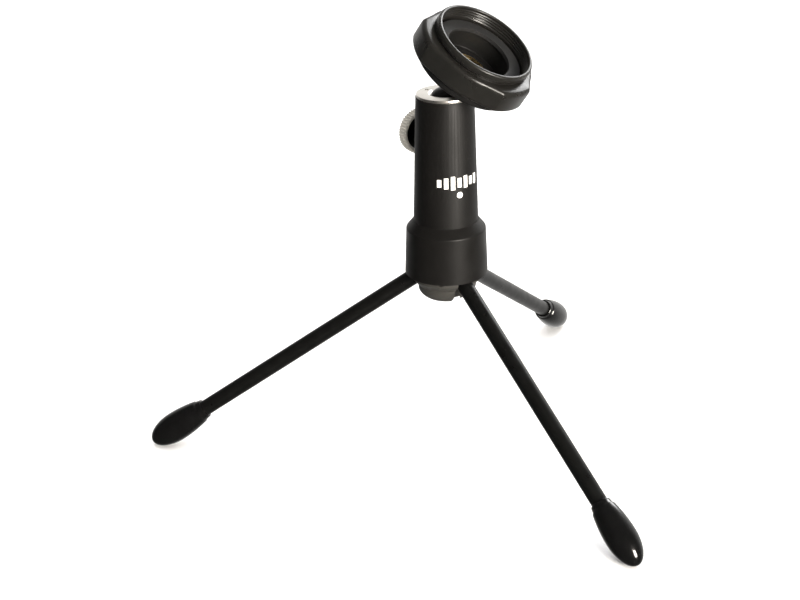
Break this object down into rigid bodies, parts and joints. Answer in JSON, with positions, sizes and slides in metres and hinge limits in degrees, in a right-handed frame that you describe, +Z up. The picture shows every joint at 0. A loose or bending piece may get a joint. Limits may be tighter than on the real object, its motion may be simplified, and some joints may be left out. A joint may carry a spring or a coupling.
{
  "type": "desktop microphone stand",
  "caption": "Folding desktop microphone stand: rod legs with olive feet, tapered column, lockable ball joint and a holder with a lobed ring nut.",
  "frame": {"origin": "on the desk, under the column's axis", "axes": "+Z up along the column, -Y towards the front leg, +Y towards the clamp knob"},
  "size_m": [0.1824, 0.1591, 0.1542],
  "materials": {
    "anodised_black": "satin black anodised, fine turned grain",
    "bright_ring": "machined bright",
    "collar_black": "satin moulded",
    "hub_grey": "matte moulded",
    "dark_bolt": "black oxide",
    "bright_washer": "zinc plated",
    "steel_pin": "ground",
    "leg_paint": "semi-gloss black",
    "foot_black": "glossy moulded",
    "seat_nylon": "natural nylon",
    "stud_steel": "polished plated steel",
    "insert_brass": "turned brass",
    "holder_black": "satin moulded",
    "spring_steel": "blued spring steel",
    "gasket_rubber": "smooth rubber",
    "nut_black": "semi-gloss moulded",
    "screw_steel": "plated",
    "knob_metal": "knurled, dark rim wear"
  },
  "bodies": {
    "stand": {"column": "anodised_black", "retaining_ring": "bright_ring", "collar": "collar_black", "leg_hub": "hub_grey", "hub_bolt": "dark_bolt", "hub_washer": "bright_washer", "pivot_pin_front": "steel_pin", "pivot_pin_left": "steel_pin", "pivot_pin_right": "steel_pin"},
    "front_leg": {"leg_front": "leg_paint", "foot_front": "foot_black"},
    "right_leg": {"leg_right": "leg_paint", "foot_right": "foot_black"},
    "left_leg": {"leg_left": "leg_paint", "foot_left": "foot_black"},
    "swivel": {"ball_seat": "seat_nylon"},
    "head": {"ball_stud": "stud_steel", "thread_insert": "insert_brass", "holder_base": "holder_black", "snap_ring": "spring_steel", "grip_gasket": "gasket_rubber"},
    "nut": {"ring_nut": "nut_black"},
    "clamp": {"clamp_screw": "screw_steel"},
    "knob": {"clamp_knob": "knob_metal"}
  },
  "joints": [
    {"name": "front_leg_fold", "type": "hinge", "parent": "stand", "child": "front_leg", "pos_m": [0, -0.0086, 0.06301], "axis": [1, 0, 0], "range_deg": [0, 57.3]},
    {"name": "right_leg_fold", "type": "hinge", "parent": "stand", "child": "right_leg", "pos_m": [0.00745, 0.0043, 0.06301], "axis": [-0.5, 0.866, 0], "range_deg": [0, 57.3]},
    {"name": "left_leg_fold", "type": "hinge", "parent": "stand", "child": "left_leg", "pos_m": [-0.00745, 0.0043, 0.06301], "axis": [-0.5, -0.866, 0], "range_deg": [0, 57.3]},
    {"name": "head_swivel", "type": "hinge", "parent": "stand", "child": "swivel", "pos_m": [0, 0, 0.12221], "axis": [0, 0, 1], "continuous": true},
    {"name": "head_tilt", "type": "hinge", "parent": "swivel", "child": "head", "pos_m": [0, 0, 0.12221], "axis": [0.9026, 0.4305, 0], "range_deg": [-70.4, 1.6]},
    {"name": "ring_nut_turn", "type": "hinge", "parent": "head", "child": "nut", "pos_m": [0.00405, -0.00849, 0.13595], "axis": [0.2432, -0.5099, 0.8251], "continuous": true},
    {"name": "clamp_travel", "type": "slide", "parent": "stand", "child": "clamp", "axis": [0, 1, 0], "range_m": [0, 0.0012]},
    {"name": "knob_turn", "type": "hinge", "parent": "clamp", "child": "knob", "pos_m": [0, 0.0126, 0.10885], "axis": [0, 1, 0], "range_deg": [0, 541]}
  ],
  "couplings": [
    {"joint": "knob_turn", "follows": "clamp_travel", "rad_per_m": 7854}
  ]
}
